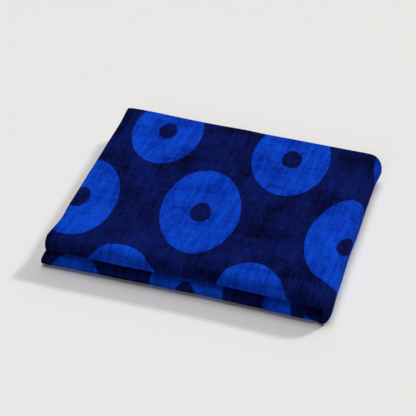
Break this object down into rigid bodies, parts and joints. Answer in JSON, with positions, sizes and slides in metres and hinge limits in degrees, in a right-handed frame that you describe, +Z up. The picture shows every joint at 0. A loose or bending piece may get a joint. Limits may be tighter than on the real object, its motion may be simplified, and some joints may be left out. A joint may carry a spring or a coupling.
{
  "type": "folded adire cloth",
  "caption": "Cotton cloth, indigo resist-dyed with bright discs that have dark centres, folded into a flat stack with plump front folds.",
  "frame": {"origin": "middle of the underside's box, on the surface the folded cloth lies on", "axes": "+X along the front folds towards the turned-over end, +Y from the front folds to the back, +Z up"},
  "size_m": [0.3132, 0.254, 0.0406],
  "materials": {
    "adire_cloth": "matte plain-woven cotton, cobalt discs on a mottled indigo ground"
  },
  "bodies": {
    "root": {"adire_cloth": "adire_cloth"}
  },
  "joints": []
}
